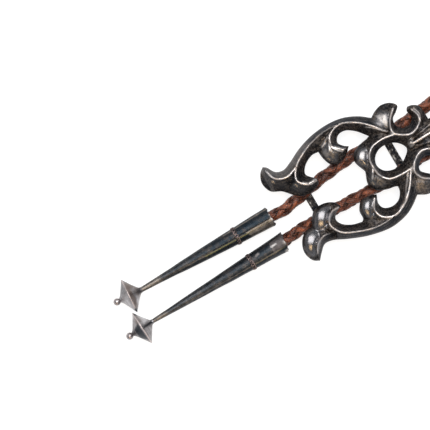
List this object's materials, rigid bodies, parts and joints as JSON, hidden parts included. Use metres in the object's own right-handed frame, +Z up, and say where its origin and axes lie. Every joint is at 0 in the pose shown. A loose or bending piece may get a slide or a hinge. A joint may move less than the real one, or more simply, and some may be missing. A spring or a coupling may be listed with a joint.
{
  "type": "bolo tie",
  "caption": "Bolo tie: a cast openwork scroll slide that runs on a braided leather cord, with long tapered metal tips ending in bicones and small balls.",
  "frame": {"origin": "on the resting surface, under the middle of the box that holds the slide and both tips; the cord above the slide and its coil are left out of that box", "axes": "+Y runs along the slide from the tips towards the neck, +Z is up out of the slide's face, +X is to the right when the face is seen with the neck at the top"},
  "size_m": [0.052, 0.2201, 0.0113],
  "materials": {
    "slide_silver": "cast silver, oxidised dark in the slopes, polished bright on the ridges",
    "shaft_silver": "dark oxidised silver sheet, smooth, worn bright at the cut mouth",
    "bicone_silver": "satin silver, lightly tarnished",
    "cord_leather": "four-strand braided leather, reddish brown, waxed",
    "tie_leather": "plain leather strip"
  },
  "bodies": {
    "cord": {"cord_left_leg": "cord_leather", "cord_right_leg": "cord_leather", "cord_coil": "cord_leather", "coil_tie": "tie_leather"},
    "slide": {"slide_casting": "slide_silver", "keeper_upper": "slide_silver", "keeper_lower": "slide_silver"},
    "tip_left": {"tip_left_shaft": "shaft_silver", "tip_left_band": "shaft_silver", "tip_left_cone_upper": "bicone_silver", "tip_left_seam": "bicone_silver", "tip_left_cone_lower": "bicone_silver", "tip_left_ball": "bicone_silver", "tip_left_cord_end": "cord_leather"},
    "tip_right": {"tip_right_shaft": "shaft_silver", "tip_right_band": "shaft_silver", "tip_right_cone_upper": "bicone_silver", "tip_right_seam": "bicone_silver", "tip_right_cone_lower": "bicone_silver", "tip_right_ball": "bicone_silver", "tip_right_cord_end": "cord_leather"}
  },
  "joints": [
    {"name": "slide_travel", "type": "slide", "parent": "cord", "child": "slide", "axis": [0, 1, 0], "range_m": [-0.003, 0.025]},
    {"name": "tip_left_swing", "type": "hinge", "parent": "cord", "child": "tip_left", "pos_m": [-0.0032, -0.01114, 0.0031], "axis": [0, 0, 1], "range_deg": [-30, 0]},
    {"name": "tip_right_swing", "type": "hinge", "parent": "cord", "child": "tip_right", "pos_m": [0.00585, -0.01124, 0.0031], "axis": [0, 0, 1], "range_deg": [0, 30]}
  ]
}
